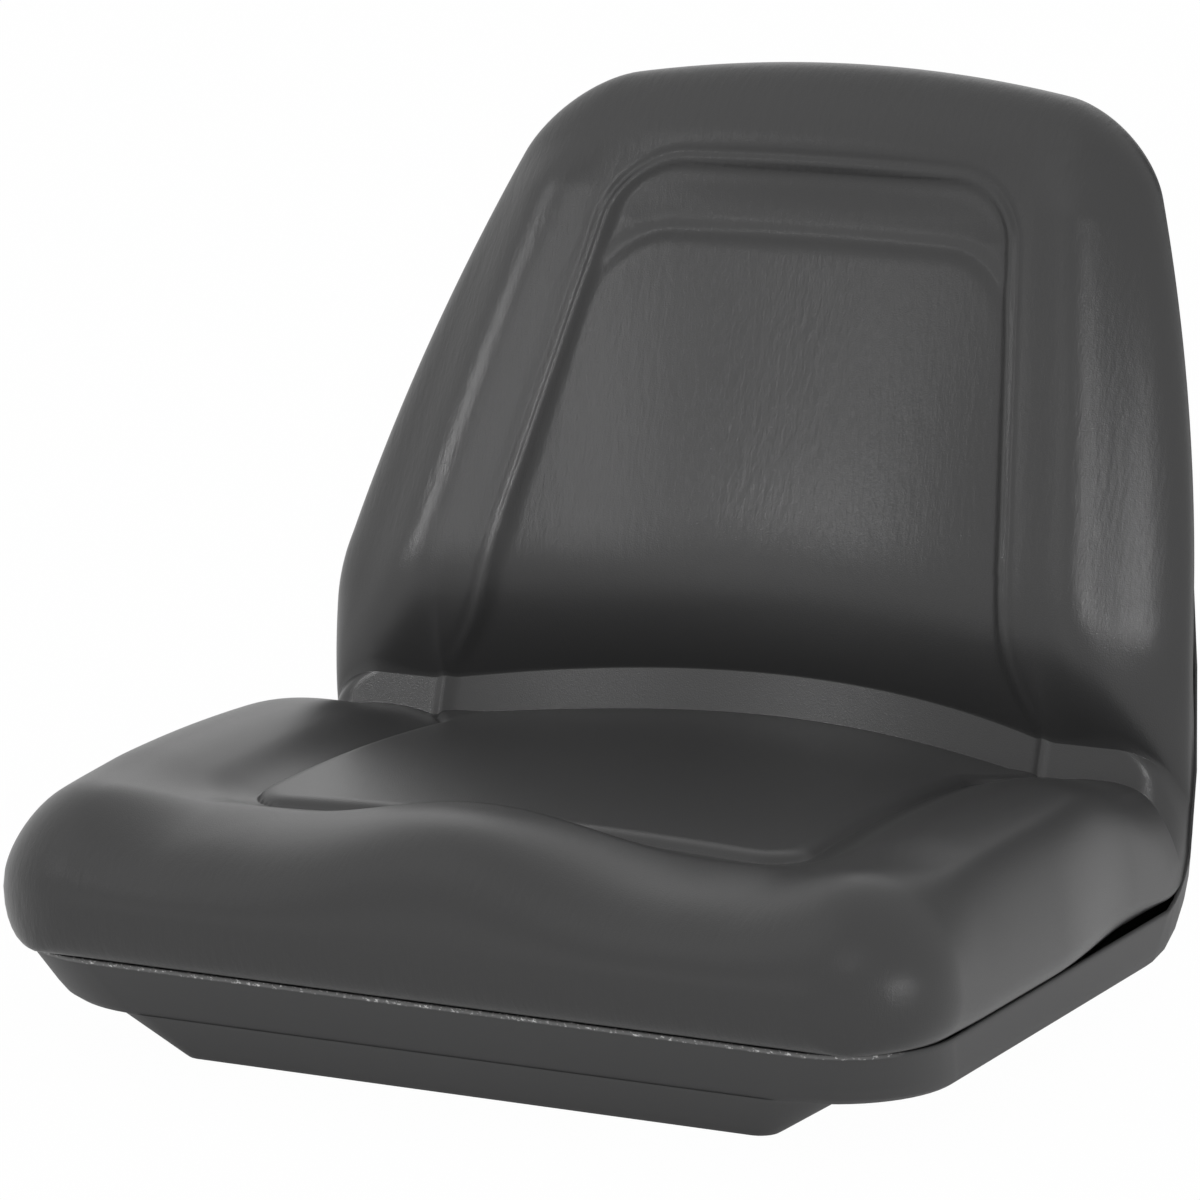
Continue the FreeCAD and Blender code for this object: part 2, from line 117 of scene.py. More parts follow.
FOLD_TOP_BOW = 0.0004
FOLD_CORNER = 34.0
FOLD_INSET = 7.0
FOLD_HEIGHT = 2.3
FOLD_WIDTH = 4.6
FOLD_START = 150.0          # below this it has faded into the welt
FOLD_START_RUN = 45.0
PILLOW_SWELL = 2.2          # between the fold and the welt
PILLOW_BELOW = 12.0
PILLOW_BLEND = 20.0
PILLOW_RUN = 16.0
HOLLOW_LOW = -1.0
HOLLOW_HIGH = 16.0
HOLLOW_START = 20.0
HOLLOW_RUN = 220.0
HOLLOW_POWER = 2.2
TOP_FRONT = 26.0
TOP_BELOW = 28.0            # starts this far below the welt's top
TOP_BLEND = 40.0
FOOT_ROLL = 84.0
FOOT_EASE = 3.0
REAR_LIP = 4.0

# Crease band between the seat and the back
BAND_HALF_WIDTH = 170.0
BAND_DROP = -48.6
BAND_OUT = -3.0
BAND_RISE = 28.0
BAND_DEPTH = 36.5
BAND_LEAN = 0.118           # forward slope of the band, out from the back per height
BAND_TILT = 0.33            # the same as a run to the front per drop
SEAM_HEIGHT = 2.0
SEAM_WIDTH = 3.5
SEAM_START = 0.85           # stages of the fan, see fan_turn
SEAM_START_RUN = 0.15
SEAM_END = 2.2
SEAM_END_RUN = 0.2
GROOVE_SPREAD = BAND_HALF_WIDTH - GROOVE_X

# The tucked edge follows the rim, which sweeps up into the back on a round
SWEEP_Y = 160.0
SWEEP_Z = 97.0
SWEEP_RADIUS = 41.0
SWEEP_END_Y = 201.0         # upright stretch of the rim
SWEEP_EASE = 9.0            # rounds its bend into the back
TUCK_ROLL = 12.0

# Foam behind the skin, inwards from the widest line
BODY_INSET = 40.0
BODY_INSET_SHARE = 0.6      # at most this much of a narrow section
BODY_START = 14.0
BODY_RUN = 22.0
FRONT_BODY_RUN = 30.0
BACK_BODY = 8.0
SEAT_BODY_GROWTH = 16.0
FOAM_BASE = 34.0
FOAM_LEAST = 12.0           # in the middle of the crease

# The sections turn from upright to square with the back between these two places
FAN_START = 120.0
FAN_END = 25.0
FAN_NEAR = 40.0
FAN_REACH = 260.0
FAN_NARROWING = 1.0         # per stage up to the band's upper edge
FAN_LINE_RUN = 0.8
FAN_ROLL_START = 1.4
FAN_ROLL_RUN = 1.6
FAN_Z = BACK_Z + (FAN_END - (FAN_START - BACK_Y) * math.sin(RECLINE)) / math.cos(RECLINE)
FAN_TURN = math.pi / 2.0 - RECLINE

# Points and rows of the skin
ACROSS = 221                # points across the upper face
UNDER = 13                  # points down each side of the underside
UNDER_POWER = 1.6           # they lie closer to the edge
UNDER_BOW = 11              # points across its middle
SEAT_ROWS = 118
FAN_ROWS = 116
BACK_ROWS = 118
# Places with closer rows: place, width, weight. Seat and back count the root of the way from their end
SEAT_ROW_PEAKS = ((9.9, 1.6, 1.4),)
FAN_ROW_PEAKS = ((1.0, 0.12, 2.0), (1.5, 0.3, 1.0), (2.0, 0.15, 2.0))
BACK_ROW_PEAKS = ((7.1, 0.7, 1.6), (9.4, 0.9, 1.6))
EDGE_PEAK = (26.0, 2.2)     # closer points at the edges: width, weight
LINE_PEAK = (15.0, 2.4)     # and at the groove or the welt
SPREAD_STEPS = 4001
FAN_STEPS = 441
TUCK_STEPS = 2201
REACH_STEPS = 20001

# Studio, angles in degrees
FLOOR_HALF = 6.0
LAMP_DISTANCE = 2.4
ROOM = 0.77                 # light of the white room
# Lighter and darker parts of the room: azimuth, elevation, inner and outer angle, amount
ROOM_PATCHES = (
    (-165.0, 31.0, 12.0, 26.0, 0.58),
    (-24.0, 5.0, 5.0, 17.0, 0.36),
    (-47.0, 56.0, 8.0, 24.0, 0.25),
    (172.0, 20.0, 12.0, 26.0, -0.68),
)
# Gridded lamps: name, target, azimuth, elevation, size, angle of the grid, power
SOFTBOXES = (
    ("left_key", (-0.22, 0.16, 0.23), -40.0, 32.0, (0.4, 0.4), 8.0, 0.1),
    ("middle_key", (-0.1, 0.2, 0.3), 7.0, 29.0, (0.3, 0.4), 9.0, 0.042),
    ("right_key", (0.29, 0.19, 0.19), 24.0, 38.0, (0.4, 0.4), 9.0, 0.098),
    ("corner_light", (0.24, -0.14, 0.09), 76.0, 3.0, (0.3, 0.25), 9.0, 0.026),
)
WHITE = (1.0, 1.0, 1.0, 1.0)
FLOOR = (0.85, 0.85, 0.85, 1.0)
FLOOR_SEEN = 0.985          # share of plain white in the floor that the camera sees
FLOOR_MIRRORED = 0.42       # and in the floor that the object mirrors

# Materials
VINYL = (0.037, 0.037, 0.0375, 1.0)
VINYL_ROUGHNESS = 0.31
PAINT = (0.046, 0.046, 0.047, 1.0)
PAINT_ROUGHNESS = 0.5
PAINT_EDGE = 0.005          # radius that rounds the sheet's edges in the shading
PAINT_EDGE_SAMPLES = 8
# Rim's front top edge: lighter grey and white flecks, partly real rubbing and chipping, partly a painted
# highlight and painted glints of the glossy edge
EDGE_WEAR_AND_HIGHLIGHT = (0.17, 0.17, 0.17, 1.0)
EDGE_CHIP_AND_GLINT = (0.85, 0.85, 0.84, 1.0)
STEEL = (0.45, 0.45, 0.43, 1.0)
STEEL_ROUGHNESS = 0.38
# Noise: stretch along each axis, scale, detail, roughness
WRINKLES = ((1.0, 0.27, 0.27), 230.0, 4.0, 0.65)
GRAIN = ((1.0, 1.0, 1.0), 1400.0, 2.0, 0.6)
SPECKLE = ((1.0, 1.0, 1.0), 1100.0, 3.0, 0.65)
# This noise makes the rim's white flecks, partly real chipping and partly painted glints
CHIP_AND_GLINT_NOISE = ((1.0, 1.0, 1.0), 420.0, 4.0, 0.7)
# Bump: strength, distance
WRINKLE_BUMP = (0.34, 0.0012)
GRAIN_BUMP = (0.3, 0.0004)
SPECKLE_BUMP = (0.16, 0.0005)
# Ramps: value at their start and at their end
WRINKLED_Z = (0.16, 0.22)
WRINKLED_Y = (-0.13, -0.16)
# Band of the rim's front top edge that takes the lighter grey, partly a painted highlight, and the noise
# levels of its white flecks, partly painted glints
WORN_AND_LIT_Z = (0.0522, 0.0532)
WORN_AND_LIT_Y = (-0.135, -0.15)
CHIP_AND_GLINT_LEVELS = (0.56, 0.64)


def step(value):
    """Smooth step from 0 to 1."""
    t = np.clip(value, 0.0, 1.0)
    return t * t * (3.0 - 2.0 * t)


def roll(value, power=2.0):
    """Rises steeply from 0 and is level at 1: a quarter of a circle, or fuller."""
    t = np.clip(value, 0.0, 1.0)
    return np.sqrt(1.0 - (1.0 - t) ** power)


def ease(value, power):
    """Rises at once from 0 and is level at 1."""
    return 1.0 - (1.0 - np.clip(value, 0.0, 1.0)) ** power


def hump(value):
    """Bell of height 1 and half-width about 1."""
    return np.exp(-value * value)


def corner_distance(side, end, radius):
    """Distance inside two edges that meet in a round corner."""
    near = (side < radius) & (end < radius)
    rounded = radius - np.hypot(np.minimum(side, radius) - radius, np.minimum(end, radius) - radius)
    return np.where(near, rounded, np.minimum(side, end))


# Fields of the cushion


def seat_half_width(y):
    return SEAT_HALF_WIDTH - SEAT_NARROWING * step((y - NARROWING_START) / NARROWING_RUN)


def seat_distance(x, y):
    return corner_distance(seat_half_width(y) - np.abs(x), y - SEAT_FRONT, SEAT_CORNER)


def pommel(x):
    """Raised middle of the seat's front edge, 1 in the middle."""
    return np.cos(0.5 * math.pi * np.minimum(1.0, np.abs(x) / POMMEL_HALF_WIDTH)) ** 2


def seat_rolled(x, y):
    """Share of the seat's full height that its rolled edge leaves."""
    side = seat_half_width(y) - np.abs(x)
    front = SEAT_FRONT_ROLL + SEAT_FRONT_GROWTH * (1.0 - pommel(x))
    share = step(0.5 + (side - (y - SEAT_FRONT)) / SEAT_ROLL_BLEND)
    width = SEAT_SIDE_ROLL + (front - SEAT_SIDE_ROLL) * share
    return roll(seat_distance(x, y) / width, SEAT_ROLL_POWER)


def seat_top(x, y):
    """Height of the seat's upper face, without the rolled edge."""
    a = np.abs(x)
    low = GROOVE_Z - GROOVE_BOW * (y - PANEL_MID_Y) ** 2
    middle = PANEL_Z - PANEL_BOW * (y - PANEL_MID_Y) ** 2
    panel = low + (middle - low) * np.maximum(0.0, 1.0 - (a / GROOVE_X) ** 2)
    half = GROOVE_X + GROOVE_SPREAD * step((y - GROOVE_SPREAD_START) / GROOVE_SPREAD_RUN)
    inside = corner_distance(half - a, y - GROOVE_FRONT, GROOVE_CORNER)
    panel = panel - PANEL_LIP * (1.0 - roll(inside / PANEL_LIP_RUN))
    side = step((a - GROOVE_X) / BOLSTER_RUN)
    bolster = panel + PANEL_LIP + BOLSTER_RISE * side * step((BOLSTER_END - y) / BOLSTER_END_RUN)
    crest = CREST_Z + CREST_SIDE_RISE * side + POMMEL_RISE * pommel(x)
    crest_start = GROOVE_FRONT + CREST_START + CREST_SIDE_START * side
    front = step((crest_start - y) / (CREST_RUN + CREST_SIDE_RUN * side))
    outer = bolster * (1.0 - front) + crest * front
    outer = outer - BOLSTER_DOME * np.maximum(0.0, a - GROOVE_X - BOLSTER_RUN) ** 2
    share = np.clip(-inside / (SHOULDER_RUN - SHOULDER_TIGHTENING * front), 0.0, 1.0)
    shoulder = share * (2.0 - share)
    return np.where(inside > 0.0, panel, panel + (outer - panel) * shoulder)


def back_half_width(up):
    return BACK_HALF_WIDTH - BACK_TAPER * up - BACK_TAPER_BOW * up * up


def back_distance(x, up):
    side = SIDE_SLANT * (back_half_width(up) - np.abs(x))
    end = BACK_TOP - BACK_TOP_BOW * x * x - up
    return corner_distance(side, end, BACK_CORNER)


def welt_half_width(up):
    return WELT_HALF_WIDTH - WELT_TAPER * up + WELT_FLARE * np.minimum(0.0, up) ** 2


def back_front(x, up):
    """Front face of the back, out from the plane of its widest outline, without the rolled edge."""
    a = np.abs(x)
    edge = welt_half_width(up)
    welt = corner_distance(edge - a, WELT_TOP - WELT_TOP_BOW * x * x - up, WELT_CORNER)
    fold = corner_distance(edge - FOLD_INSET - a, FOLD_TOP - FOLD_TOP_BOW * x * x - up, FOLD_CORNER)
    hollow = HOLLOW_LOW + (HOLLOW_HIGH - HOLLOW_LOW) * step((up - HOLLOW_START) / HOLLOW_RUN)
    inner = hollow + (BACK_FRONT - hollow) * np.minimum(1.0, a / edge) ** HOLLOW_POWER
    wing = BACK_FRONT + WING_SWELL * np.sin(math.pi * np.clip((a - edge) / WING_RUN, 0.0, 1.0)) ** 2
    out = np.where(a < edge, inner, wing)
    top = step((up - WELT_TOP + TOP_BELOW) / TOP_BLEND)
    out = out * (1.0 - top) + TOP_FRONT * top
    out = out - PANEL_RECESS * step(welt / PANEL_RECESS_RUN)
    out = out + WELT_HEIGHT * hump((welt - WELT_INSET) / WELT_WIDTH)
    out = out - WELT_GROOVE * hump(welt / WELT_GROOVE_WIDTH)
    above = step((up - FOLD_TOP + FOLD_TOP_BOW * x * x + PILLOW_BELOW) / PILLOW_BLEND)
    pillow = np.sin(math.pi * np.clip((up - FOLD_TOP) / (WELT_TOP - FOLD_TOP), 0.0, 1.0))
    out = out + PILLOW_SWELL * above * pillow * step(welt / PILLOW_RUN)
    out = out + FOLD_HEIGHT * hump(fold / FOLD_WIDTH) * step((up - FOLD_START) / FOLD_START_RUN)
    bow = 1.0 - np.minimum(1.0, a / BAND_HALF_WIDTH) ** 2
    foot_up = BAND_DROP + BAND_RISE * bow
    foot_out = BAND_OUT - BAND_DEPTH * bow
    raised = foot_out + (out - foot_out) * ease((up - foot_up) / FOOT_ROLL, FOOT_EASE)
    return np.where(up > foot_up, raised, foot_out + BAND_LEAN * (up - foot_up))


def back_frame(y, z):
    """Height up the back's slope and distance out in front of its widest outline."""
    up = (y - BACK_Y) * math.sin(RECLINE) + (z - BACK_Z) * math.cos(RECLINE)
    out = -(y - BACK_Y) * math.cos(RECLINE) + (z - BACK_Z) * math.sin(RECLINE)
    return up, out


FAN_OUT = back_frame(FAN_START, FAN_Z)[1]


# Sections of the cushion


def spread(low, high, count, peaks):
    """Places from low to high, closer together near each (place, width, weight)."""
    fine = np.linspace(low, high, SPREAD_STEPS)
    weight = np.ones_like(fine)
    for place, width, extra in peaks:
        weight += extra * hump((fine - place) / width)
    total = np.concatenate([[0.0], np.cumsum(0.5 * (weight[1:] + weight[:-1]) * np.diff(fine))])
    return np.interp(np.linspace(0.0, total[-1], count), total, fine)


def band_top(x):
    """Place of the crease band's upper edge."""
    bow = 1.0 - np.minimum(1.0, np.abs(x) / BAND_HALF_WIDTH) ** 2
    up = BAND_DROP + BAND_RISE * bow
    out = BAND_OUT - BAND_DEPTH * bow
    y = BACK_Y + up * math.sin(RECLINE) - out * math.cos(RECLINE)
    return y, BACK_Z + up * math.cos(RECLINE) + out * math.sin(RECLINE)


def fan_turn(x, stage):
    """Turn of a section: 0 at the seat, 1 at the band's foot, 2 at its upper edge and 3 at the back."""
    y, z = band_top(x)
    foot_y = y - BAND_TILT * (z - seat_top(x, y))
    foot = np.arctan2(foot_y - FAN_START, FAN_Z - seat_top(x, foot_y))
    edge = np.arctan2(y - FAN_START, FAN_Z - z)
    turns = [np.zeros_like(foot), foot, edge, np.full_like(foot, FAN_TURN)]
    index = min(2, int(stage))
    return turns[index] + (turns[index + 1] - turns[index]) * (stage - index)


def fan_depth(x, turn, stage):
    """Depth at which rays from the fan's axis first meet the seat or the back."""
    depths = np.linspace(FAN_NEAR, FAN_REACH, FAN_STEPS)
    y = FAN_START + depths[None, :] * np.sin(turn)[:, None]
    z = FAN_Z - depths[None, :] * np.cos(turn)[:, None]
    up, out = back_frame(y, z)
    gap = np.minimum(z - seat_top(x[:, None], y), out - back_front(x[:, None], up))
    first = np.argmax(gap < 0.0, axis=1)
    rows = np.arange(len(x))
    before = gap[rows, first - 1]
    after = gap[rows, first]
    depth = depths[first - 1] + (depths[1] - depths[0]) * before / (before - after)
    seam = hump((np.abs(x) - BAND_HALF_WIDTH) / SEAM_WIDTH)
    shown = step((stage - SEAM_START) / SEAM_START_RUN) * step((SEAM_END - stage) / SEAM_END_RUN)
    return depth - SEAM_HEIGHT * seam * shown


def tuck_depth(turn):
    """Depth of the tucked edge just above the rim."""
    depths = np.linspace(FAN_NEAR, FAN_REACH, TUCK_STEPS)
    y = FAN_START + depths * math.sin(turn)
    z = FAN_Z - depths * math.cos(turn)
    slope = BACK_Y + REAR_LIP / math.cos(RECLINE) + (z - BACK_Z) * math.tan(RECLINE)
    rounding = np.maximum(0.0, SWEEP_EASE - np.abs(slope - SWEEP_END_Y)) ** 2 / (4.0 * SWEEP_EASE)
    beyond_back = y > np.maximum(slope, SWEEP_END_Y) + rounding
    beyond_sweep = np.where(y > SWEEP_Y, np.hypot(y - SWEEP_Y, z - SWEEP_Z) > SWEEP_RADIUS, z < TUCK_Z)
    return depths[np.argmax(np.where(z > SWEEP_Z, beyond_back, beyond_sweep))]


def reach(distance, limit):
    """Largest x at which a distance function of x is still positive."""
    x = np.linspace(0.0, limit, REACH_STEPS)
    inside = distance(x) > 0.0
    return x[np.nonzero(inside)[0][-1]] if inside.any() else 0.0


def across_places(half_width, line):
    """Places across a section, closer together at the edges and at a line on each side."""
    peaks = [(side * half_width, *EDGE_PEAK) for side in (-1, 1)]
    peaks += [(side * min(line, half_width), *LINE_PEAK) for side in (-1, 1)]
    return spread(-half_width, half_width, ACROSS, peaks)


def ring(x, upper, waist, edge, body, middle):
    """Depths of one closed section: upper face from left to right, then the underside back."""
    half_width = x[-1]
    share = np.linspace(0.0, 1.0, UNDER + 1)[1:]
    inset = min(BODY_INSET, BODY_INSET_SHARE * half_width) * share ** UNDER_POWER
    under = waist + (edge - waist) * roll(inset / TUCK_ROLL)
    under = under + (body - edge) * step((inset - BODY_START) / BODY_RUN)
    side = half_width - inset
    bow = np.linspace(1.0, -1.0, UNDER_BOW + 2)[1:-1]
    ring_x = np.concatenate([x, side, bow * side[-1], -side[::-1]])
    upper = upper.copy()
    upper[0] = waist
    upper[-1] = waist
    bowed = under[-1] + (middle - under[-1]) * (1.0 - bow * bow)
    return ring_x, np.concatenate([upper, under, bowed, under[::-1]])


def seat_rings():
    rings = []
    runs = spread(0.0, math.sqrt(FAN_START - SEAT_FRONT), SEAT_ROWS, SEAT_ROW_PEAKS) ** 2
    for run in runs[1:-1]:
        y = SEAT_FRONT + run
        half_width = reach(lambda x: seat_distance(x, y), SEAT_HALF_WIDTH)
        x = across_places(half_width, GROOVE_X)
        lip = SEAT_WAIST + (SIDE_WAIST - SEAT_WAIST) * float(step((run - WAIST_START) / WAIST_RUN))
        waist = FAN_Z - TUCK_Z - lip
        top = FAN_Z - seat_top(x, np.full_like(x, y))
        upper = waist + (top - waist) * seat_rolled(x, y)
        edge = waist + lip * float(roll(run / TUCK_ROLL))
        body = edge + (TUCK_Z - FOAM_BASE) * float(step((run - BODY_START) / FRONT_BODY_RUN))
        ring_x, depth = ring(x, upper, waist, edge, body, body)
        rings.append(np.stack([ring_x, np.full_like(ring_x, y), FAN_Z - depth], 1))
    return rings


def fan_half_width(stage):
    """Half-width that runs on from the back's taper and settles on the seat's width."""
    t = max(0.0, stage - 2.0)
    seat = float(seat_half_width(FAN_START)) - FAN_NARROWING * min(stage, 2.0)
    back = back_half_width(FAN_END)
    slope = (BACK_TAPER + 2.0 * BACK_TAPER_BOW * FAN_END) * (FAN_END - BAND_DROP)
    return seat + (back - seat) * t * t * (3.0 - 2.0 * t) + slope * t * t * (1.0 - t)


def fan_rings():
    rings = []
    for stage in spread(0.0, 3.0, FAN_ROWS, FAN_ROW_PEAKS):
        side_turn = float(fan_turn(np.array([SEAT_HALF_WIDTH]), stage)[0])
        share = side_turn / FAN_TURN
        half_width = fan_half_width(stage)
        spread_share = step(stage / FAN_LINE_RUN) * step((3.0 - stage) / FAN_LINE_RUN)
        x = across_places(half_width, GROOVE_X + GROOVE_SPREAD * float(spread_share))
        edge = tuck_depth(side_turn)
        waist = edge - SIDE_WAIST + (SIDE_WAIST - REAR_LIP) * float(step(stage))
        top = fan_depth(x, fan_turn(x, stage), stage)
        back_share = float(step((stage - FAN_ROLL_START) / FAN_ROLL_RUN))
        width = SEAT_SIDE_ROLL + (BACK_ROLL / SIDE_SLANT - SEAT_SIDE_ROLL) * back_share
        power = SEAT_ROLL_POWER + (BACK_ROLL_POWER - SEAT_ROLL_POWER) * float(step(stage / 3.0))
        upper = waist + (top - waist) * roll((half_width - np.abs(x)) / width, power)
        body = edge + BACK_BODY + SEAT_BODY_GROWTH * (1.0 - share)
        ring_x, depth = ring(x, upper, waist, edge, body, max(body, top[len(x) // 2] + FOAM_LEAST))
        turn = fan_turn(ring_x, stage)
        rings.append(np.stack([ring_x, FAN_START + depth * np.sin(turn), FAN_Z - depth * np.cos(turn)], 1))
    return rings


def back_rings():
    rings = []
    runs = spread(0.0, math.sqrt(BACK_TOP - FAN_END), BACK_ROWS, BACK_ROW_PEAKS)
    for up in BACK_TOP - runs[::-1][1:-1] ** 2:
        half_width = reach(lambda x: back_distance(x, up), BACK_HALF_WIDTH)
        x = across_places(half_width, float(welt_half_width(up)))
        rolled = roll(back_distance(x, up) / BACK_ROLL, BACK_ROLL_POWER)
        upper = FAN_OUT - back_front(x, np.full_like(x, up)) * rolled
        close = float(roll((BACK_TOP - up) / TUCK_ROLL))
        edge = FAN_OUT + REAR_LIP * close
        body = edge + BACK_BODY * close
        ring_x, depth = ring(x, upper, FAN_OUT, edge, body, body)
        out = FAN_OUT - depth
        y = BACK_Y + up * math.sin(RECLINE) - out * math.cos(RECLINE)
        z = BACK_Z + up * math.cos(RECLINE) + out * math.sin(RECLINE)
        rings.append(np.stack([ring_x, y, z], 1))
    return rings


def cushion_mesh():
    """Closed skin through all the sections, with one face closing each end."""
    rings = seat_rings() + fan_rings() + back_rings()
    points = np.concatenate(rings)
    count = len(rings[0])
    faces = []
    for row in range(len(rings) - 1):
        for column in range(count):
            following = (column + 1) % count
            faces.append((row * count + column, row * count + following,
                          (row + 1) * count + following, (row + 1) * count + column))
    faces.append(tuple(reversed(range(count))))
    last = (len(rings) - 1) * count
    faces.append(tuple(last + column for column in range(count)))
    mesh = bpy.data.meshes.new("cushion_skin")
    mesh.from_pydata([tuple(point) for point in points * MM], [], faces)
    mesh.update()
    mesh.polygons.foreach_set("use_smooth", [True] * len(mesh.polygons))
    return mesh


# Materials


def node_material(name):
    material = bpy.data.materials.new(name)
    material.use_nodes = True
    tree = material.node_tree
    return material, tree, tree.nodes["Principled BSDF"]


def scaled_noise(tree, stretch, scale, detail, roughness):
    """Noise over the object's own coordinates, stretched by a factor along each axis."""
    place = tree.nodes.new("ShaderNodeTexCoord")
    mapping = tree.nodes.new("ShaderNodeMapping")
    mapping.inputs["Scale"].default_value = stretch
    noise = tree.nodes.new("ShaderNodeTexNoise")
    noise.inputs["Scale"].default_value = scale
    noise.inputs["Detail"].default_value = detail
    noise.inputs["Roughness"].default_value = roughness
    tree.links.new(place.outputs["Object"], mapping.inputs["Vector"])
    tree.links.new(mapping.outputs["Vector"], noise.inputs["Vector"])
    return noise.outputs["Fac"]


def bump(tree, height, strength, distance, normal=None):
    node = tree.nodes.new("ShaderNodeBump")
    node.inputs["Strength"].default_value = strength
    node.inputs["Distance"].default_value = distance
    tree.links.new(height, node.inputs["Height"])
    if normal is not None:
        tree.links.new(normal, node.inputs["Normal"])
    return node.outputs["Normal"]


def ramp(tree, value, start, end):
    """Rises from 0 to 1 between two values."""
    node = tree.nodes.new("ShaderNodeMapRange")
    node.inputs["From Min"].default_value = start
    node.inputs["From Max"].default_value = end
    tree.links.new(value, node.inputs["Value"])
    return node.outputs["Result"]


def combine(tree, operation, first, second):
    """Result of a calculation on two values, each a number or a socket."""
    node = tree.nodes.new("ShaderNodeMath")
    node.operation = operation
    for value, socket in zip((first, second), node.inputs):
        if isinstance(value, float):
            socket.default_value = value
        else:
            tree.links.new(value, socket)
    return node.outputs[0]


def own_place(tree):
    """X, Y and Z of the object's own coordinates."""
    place = tree.nodes.new("ShaderNodeTexCoord")
    parts = tree.nodes.new("ShaderNodeSeparateXYZ")
    tree.links.new(place.outputs["Object"], parts.inputs["Vector"])
    return parts.outputs


def colour_mix(tree, share, first, second):
    """Mix towards a second colour. The first is a colour or another mix."""
    node = tree.nodes.new("ShaderNodeMixRGB")
    tree.links.new(share, node.inputs["Fac"])
    if isinstance(first, tuple):
        node.inputs["Color1"].default_value = first
    else:
        tree.links.new(first, node.inputs["Color1"])
    node.inputs["Color2"].default_value = second
    return node.outputs["Color"]


def vinyl_material():
    """Charcoal vinyl with a fine grain, and with wrinkles on its back and its front."""
    material, tree, shader = node_material("charcoal_vinyl")
    shader.inputs["Base Color"].default_value = VINYL
    shader.inputs["Roughness"].default_value = VINYL_ROUGHNESS
    place = own_place(tree)
    back = ramp(tree, place["Z"], *WRINKLED_Z)
    front = ramp(tree, place["Y"], *WRINKLED_Y)
    upright = combine(tree, "MAXIMUM", back, front)
    wrinkles = combine(tree, "MULTIPLY", scaled_noise(tree, *WRINKLES), upright)
    normal = bump(tree, wrinkles, *WRINKLE_BUMP)
    normal = bump(tree, scaled_noise(tree, *GRAIN), *GRAIN_BUMP, normal)
    tree.links.new(normal, shader.inputs["Normal"])
    return material


def paint_material():
    """Satin dark-grey paint on pressed steel. It is lighter and flecked with white along the front top edge
    of the rim: partly real rubbing and chipping, partly a painted highlight and painted glints of the
    glossy edge.
    """
    material, tree, shader = node_material("pan_paint")
    place = own_place(tree)
    # Rim's front top edge: partly real rubbing, partly a painted highlight
    top = ramp(tree, place["Z"], *WORN_AND_LIT_Z)
    front = ramp(tree, place["Y"], *WORN_AND_LIT_Y)
    edge = combine(tree, "MULTIPLY", top, front)
    # White flecks on that edge: partly real chipping, partly painted glints
    chips_and_glints = ramp(tree, scaled_noise(tree, *CHIP_AND_GLINT_NOISE), *CHIP_AND_GLINT_LEVELS)
    worn_and_lit = colour_mix(tree, edge, PAINT, EDGE_WEAR_AND_HIGHLIGHT)
    chipped_and_glinting = colour_mix(tree, combine(tree, "MULTIPLY", edge, chips_and_glints), worn_and_lit, EDGE_CHIP_AND_GLINT)
    tree.links.new(chipped_and_glinting, shader.inputs["Base Color"])
    shader.inputs["Roughness"].default_value = PAINT_ROUGHNESS
    rounded = tree.nodes.new("ShaderNodeBevel")
    rounded.samples = PAINT_EDGE_SAMPLES
    rounded.inputs["Radius"].default_value = PAINT_EDGE
    normal = bump(tree, scaled_noise(tree, *SPECKLE), *SPECKLE_BUMP, rounded.outputs["Normal"])
    tree.links.new(normal, shader.inputs["Normal"])
    return material


def steel_material():
    material, _, shader = node_material("plated_steel")
    shader.inputs["Base Color"].default_value = STEEL
    shader.inputs["Metallic"].default_value = 1.0
    shader.inputs["Roughness"].default_value = STEEL_ROUGHNESS
    return material


def floor_material():
    """Pale floor that keeps the object's shadow, and is mostly plain white where it is seen or mirrored."""
    material = bpy.data.materials.new("pale_floor")
    material.use_nodes = True
    tree = material.node_tree
    tree.nodes.clear()
    output = tree.nodes.new("ShaderNodeOutputMaterial")
    diffuse = tree.nodes.new("ShaderNodeBsdfDiffuse")
    diffuse.inputs["Color"].default_value = FLOOR
    glow = tree.nodes.new("ShaderNodeEmission")
    glow.inputs["Color"].default_value = WHITE
    glow.inputs["Strength"].default_value = 1.0
    path = tree.nodes.new("ShaderNodeLightPath")
    seen = combine(tree, "MULTIPLY", path.outputs["Is Camera Ray"], FLOOR_SEEN)
    mirrored = combine(tree, "MULTIPLY", path.outputs["Is Glossy Ray"], FLOOR_MIRRORED)
    mix = tree.nodes.new("ShaderNodeMixShader")
    tree.links.new(combine(tree, "ADD", seen, mirrored), mix.inputs[0])
    tree.links.new(diffuse.outputs[0], mix.inputs[1])
    tree.links.new(glow.outputs[0], mix.inputs[2])
    tree.links.new(mix.outputs[0], output.inputs["Surface"])
    return material


# Stage


def build_floor():
    mesh = bpy.data.meshes.new("floor")
    h = FLOOR_HALF
    mesh.from_pydata([(-h, -h, 0.0), (h, -h, 0.0), (h, h, 0.0), (-h, h, 0.0)], [], [(0, 1, 2, 3)])
    mesh.materials.append(floor_material())
    floor = bpy.data.objects.new("floor", mesh)
    bpy.context.scene.collection.objects.link(floor)


def heading(azimuth, elevation):
    """Direction from the seat. Azimuth 0 is in front of it and grows towards +X."""
    turn = math.radians(azimuth)
    lift = math.radians(elevation)
    return np.array([math.sin(turn) * math.cos(lift), -math.cos(turn) * math.cos(lift), math.sin(lift)])


def sideways(azimuth):
    """Level direction to the right of something that looks at the seat from an azimuth."""
    turn = math.radians(azimuth)
    return np.array([math.cos(turn), math.sin(turn), 0.0])


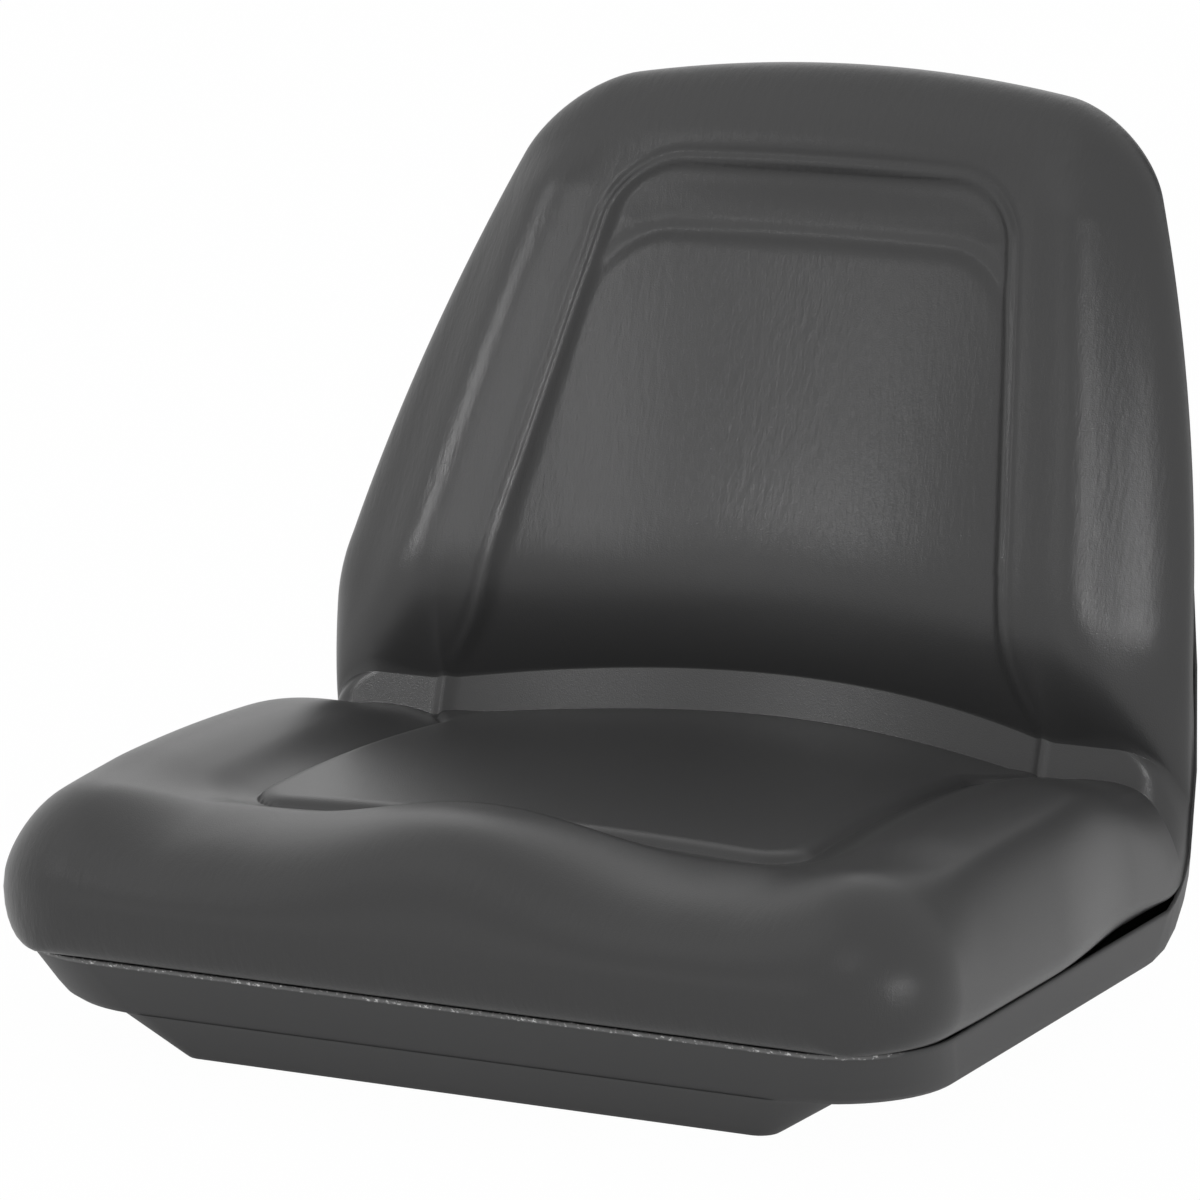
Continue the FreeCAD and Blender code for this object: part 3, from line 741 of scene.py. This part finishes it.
def room_patch(tree, place, azimuth, elevation, inner, outer, amount):
    """Amount of light within an inner angle of a direction, fading to none at the outer angle."""
    along = tree.nodes.new("ShaderNodeVectorMath")
    along.operation = "DOT_PRODUCT"
    along.inputs[1].default_value = tuple(heading(azimuth, elevation))
    tree.links.new(place, along.inputs[0])
    level = tree.nodes.new("ShaderNodeMapRange")
    level.interpolation_type = "SMOOTHSTEP"
    level.inputs["From Min"].default_value = math.cos(math.radians(outer))
    level.inputs["From Max"].default_value = math.cos(math.radians(inner))
    level.inputs["To Max"].default_value = amount
    tree.links.new(along.outputs["Value"], level.inputs["Value"])
    return level.outputs["Result"]


def build_world():
    """White room with its lighter and darker parts, plain white to the camera."""
    world = bpy.data.worlds.new("studio")
    world.use_nodes = True
    bpy.context.scene.world = world
    tree = world.node_tree
    background = tree.nodes["Background"]
    background.inputs["Color"].default_value = WHITE
    place = tree.nodes.new("ShaderNodeTexCoord").outputs["Generated"]
    level = ROOM
    for patch in ROOM_PATCHES:
        level = combine(tree, "ADD", level, room_patch(tree, place, *patch))
    path = tree.nodes.new("ShaderNodeLightPath")
    strength = combine(tree, "MAXIMUM", level, path.outputs["Is Camera Ray"])
    tree.links.new(strength, background.inputs["Strength"])


def softbox(name, target, azimuth, elevation, size, grid, power):
    """Area lamp with a grid: it faces a target from a heading and lights only what is near it."""
    lamp = bpy.data.lights.new(name, "AREA")
    lamp.shape = "RECTANGLE"
    lamp.size, lamp.size_y = size
    lamp.spread = math.radians(grid)
    lamp.energy = power
    back = heading(azimuth, elevation)
    place_facing(name, lamp, np.array(target) + LAMP_DISTANCE * back, sideways(azimuth), back)


def place_facing(name, data, place, right, back):
    """Object that looks along minus back, with its right side given."""
    up = np.cross(back, right)
    item = bpy.data.objects.new(name, data)
    bpy.context.scene.collection.objects.link(item)
    columns = np.eye(4)
    columns[:3, 0] = right
    columns[:3, 1] = up
    columns[:3, 2] = back
    columns[:3, 3] = place
    item.matrix_world = Matrix(columns.tolist())
    return item


def build_lights():
    for lamp in SOFTBOXES:
        softbox(*lamp)


def build_camera():
    back = heading(AZIMUTH, ELEVATION)
    right = sideways(AZIMUTH)
    up = np.cross(back, right)
    eye = AIM_RIGHT * right + AIM_UP * up + CAMERA_DISTANCE * back + np.array([0.0, 0.0, AIM_LIFT])
    data = bpy.data.cameras.new("photo_camera")
    data.sensor_width = SENSOR
    data.lens = FOCAL_PIXELS * SENSOR / IMAGE_PIXELS
    data.clip_end = CLIP_END
    camera = place_facing("photo_camera", data, eye * MM, right, back)
    bpy.context.scene.camera = camera


# Object


def build_cushion():
    mesh = cushion_mesh()
    mesh.materials.append(vinyl_material())
    cushion = bpy.data.objects.new("cushion_skin", mesh)
    bpy.context.scene.collection.objects.link(cushion)
    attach(cushion, "root")
    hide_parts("cushion")


def dress_node(node, material):
    node.data.materials.clear()
    node.data.materials.append(material)


def build_object(frame):
    build_cushion()
    dress_node(frame["nodes"]["seat_pan"], paint_material())
    dress_node(frame["nodes"]["mounting_nuts"], steel_material())


bpy.context.scene.view_settings.view_transform = "Standard"
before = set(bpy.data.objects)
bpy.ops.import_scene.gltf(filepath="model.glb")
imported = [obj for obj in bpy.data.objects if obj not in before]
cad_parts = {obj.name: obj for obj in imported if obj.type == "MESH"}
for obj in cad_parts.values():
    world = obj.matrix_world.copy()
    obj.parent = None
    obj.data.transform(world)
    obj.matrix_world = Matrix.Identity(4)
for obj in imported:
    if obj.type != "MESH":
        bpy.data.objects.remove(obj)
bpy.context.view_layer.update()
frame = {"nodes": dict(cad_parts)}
build_object(frame)
build_floor()
build_world()
build_lights()
build_camera()
